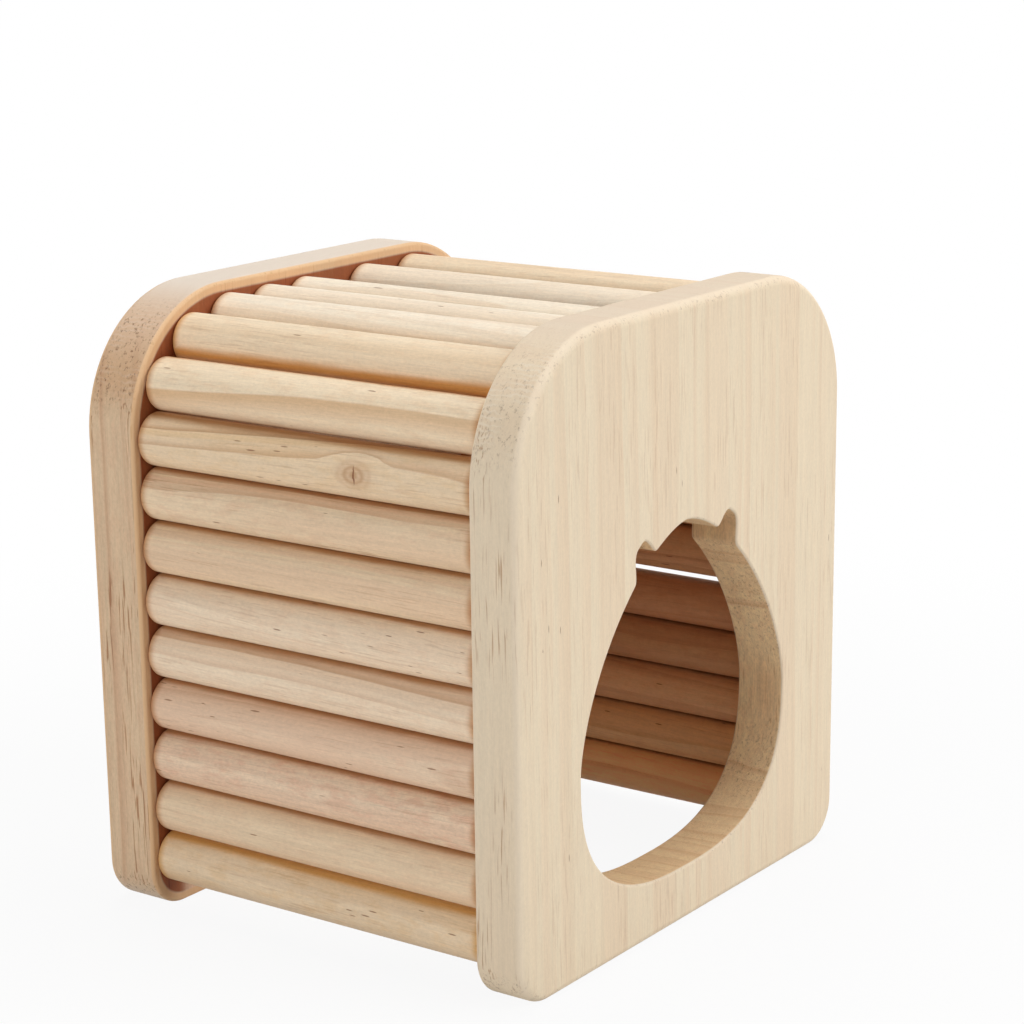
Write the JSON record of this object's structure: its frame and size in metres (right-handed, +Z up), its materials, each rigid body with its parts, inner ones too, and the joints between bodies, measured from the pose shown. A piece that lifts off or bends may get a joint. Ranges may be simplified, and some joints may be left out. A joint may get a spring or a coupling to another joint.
{
  "type": "wooden hamster house",
  "caption": "Free-standing wooden hideout for a hamster: an arch of round dowels between two rounded boards, with a doorway shaped like an animal's head in the front board and an open floor.",
  "frame": {"origin": "on the ground under the middle of the house, where it stands", "axes": "+Z up, the doorway board faces -Y, the dowels run along Y, +X is to the right seen from the front"},
  "size_m": [0.13, 0.116, 0.14],
  "materials": {
    "front_board": "bare sanded softwood, pale cream with upright grain",
    "back_board": "bare sanded softwood, a little darker and pinker",
    "wall_dowels": "bare sanded dowel with lengthwise grain",
    "corner_dowels": "bare sanded dowel, slightly golden",
    "roof_dowels": "bare sanded dowel, pale cream"
  },
  "bodies": {
    "root": {"front_panel": "front_board", "back_panel": "back_board", "left_dowel_1": "wall_dowels", "left_dowel_2": "wall_dowels", "left_dowel_3": "wall_dowels", "left_dowel_4": "wall_dowels", "left_dowel_5": "wall_dowels", "left_dowel_6": "wall_dowels", "left_dowel_7": "wall_dowels", "left_dowel_8": "wall_dowels", "left_dowel_9": "wall_dowels", "left_dowel_10": "wall_dowels", "right_dowel_1": "wall_dowels", "right_dowel_2": "wall_dowels", "right_dowel_3": "wall_dowels", "right_dowel_4": "wall_dowels", "right_dowel_5": "wall_dowels", "right_dowel_6": "wall_dowels", "right_dowel_7": "wall_dowels", "right_dowel_8": "wall_dowels", "right_dowel_9": "wall_dowels", "right_dowel_10": "wall_dowels", "left_corner_dowel": "corner_dowels", "right_corner_dowel": "corner_dowels", "roof_dowel_1": "roof_dowels", "roof_dowel_2": "roof_dowels", "roof_dowel_3": "roof_dowels", "roof_dowel_4": "roof_dowels", "roof_dowel_5": "roof_dowels"}
  },
  "joints": []
}
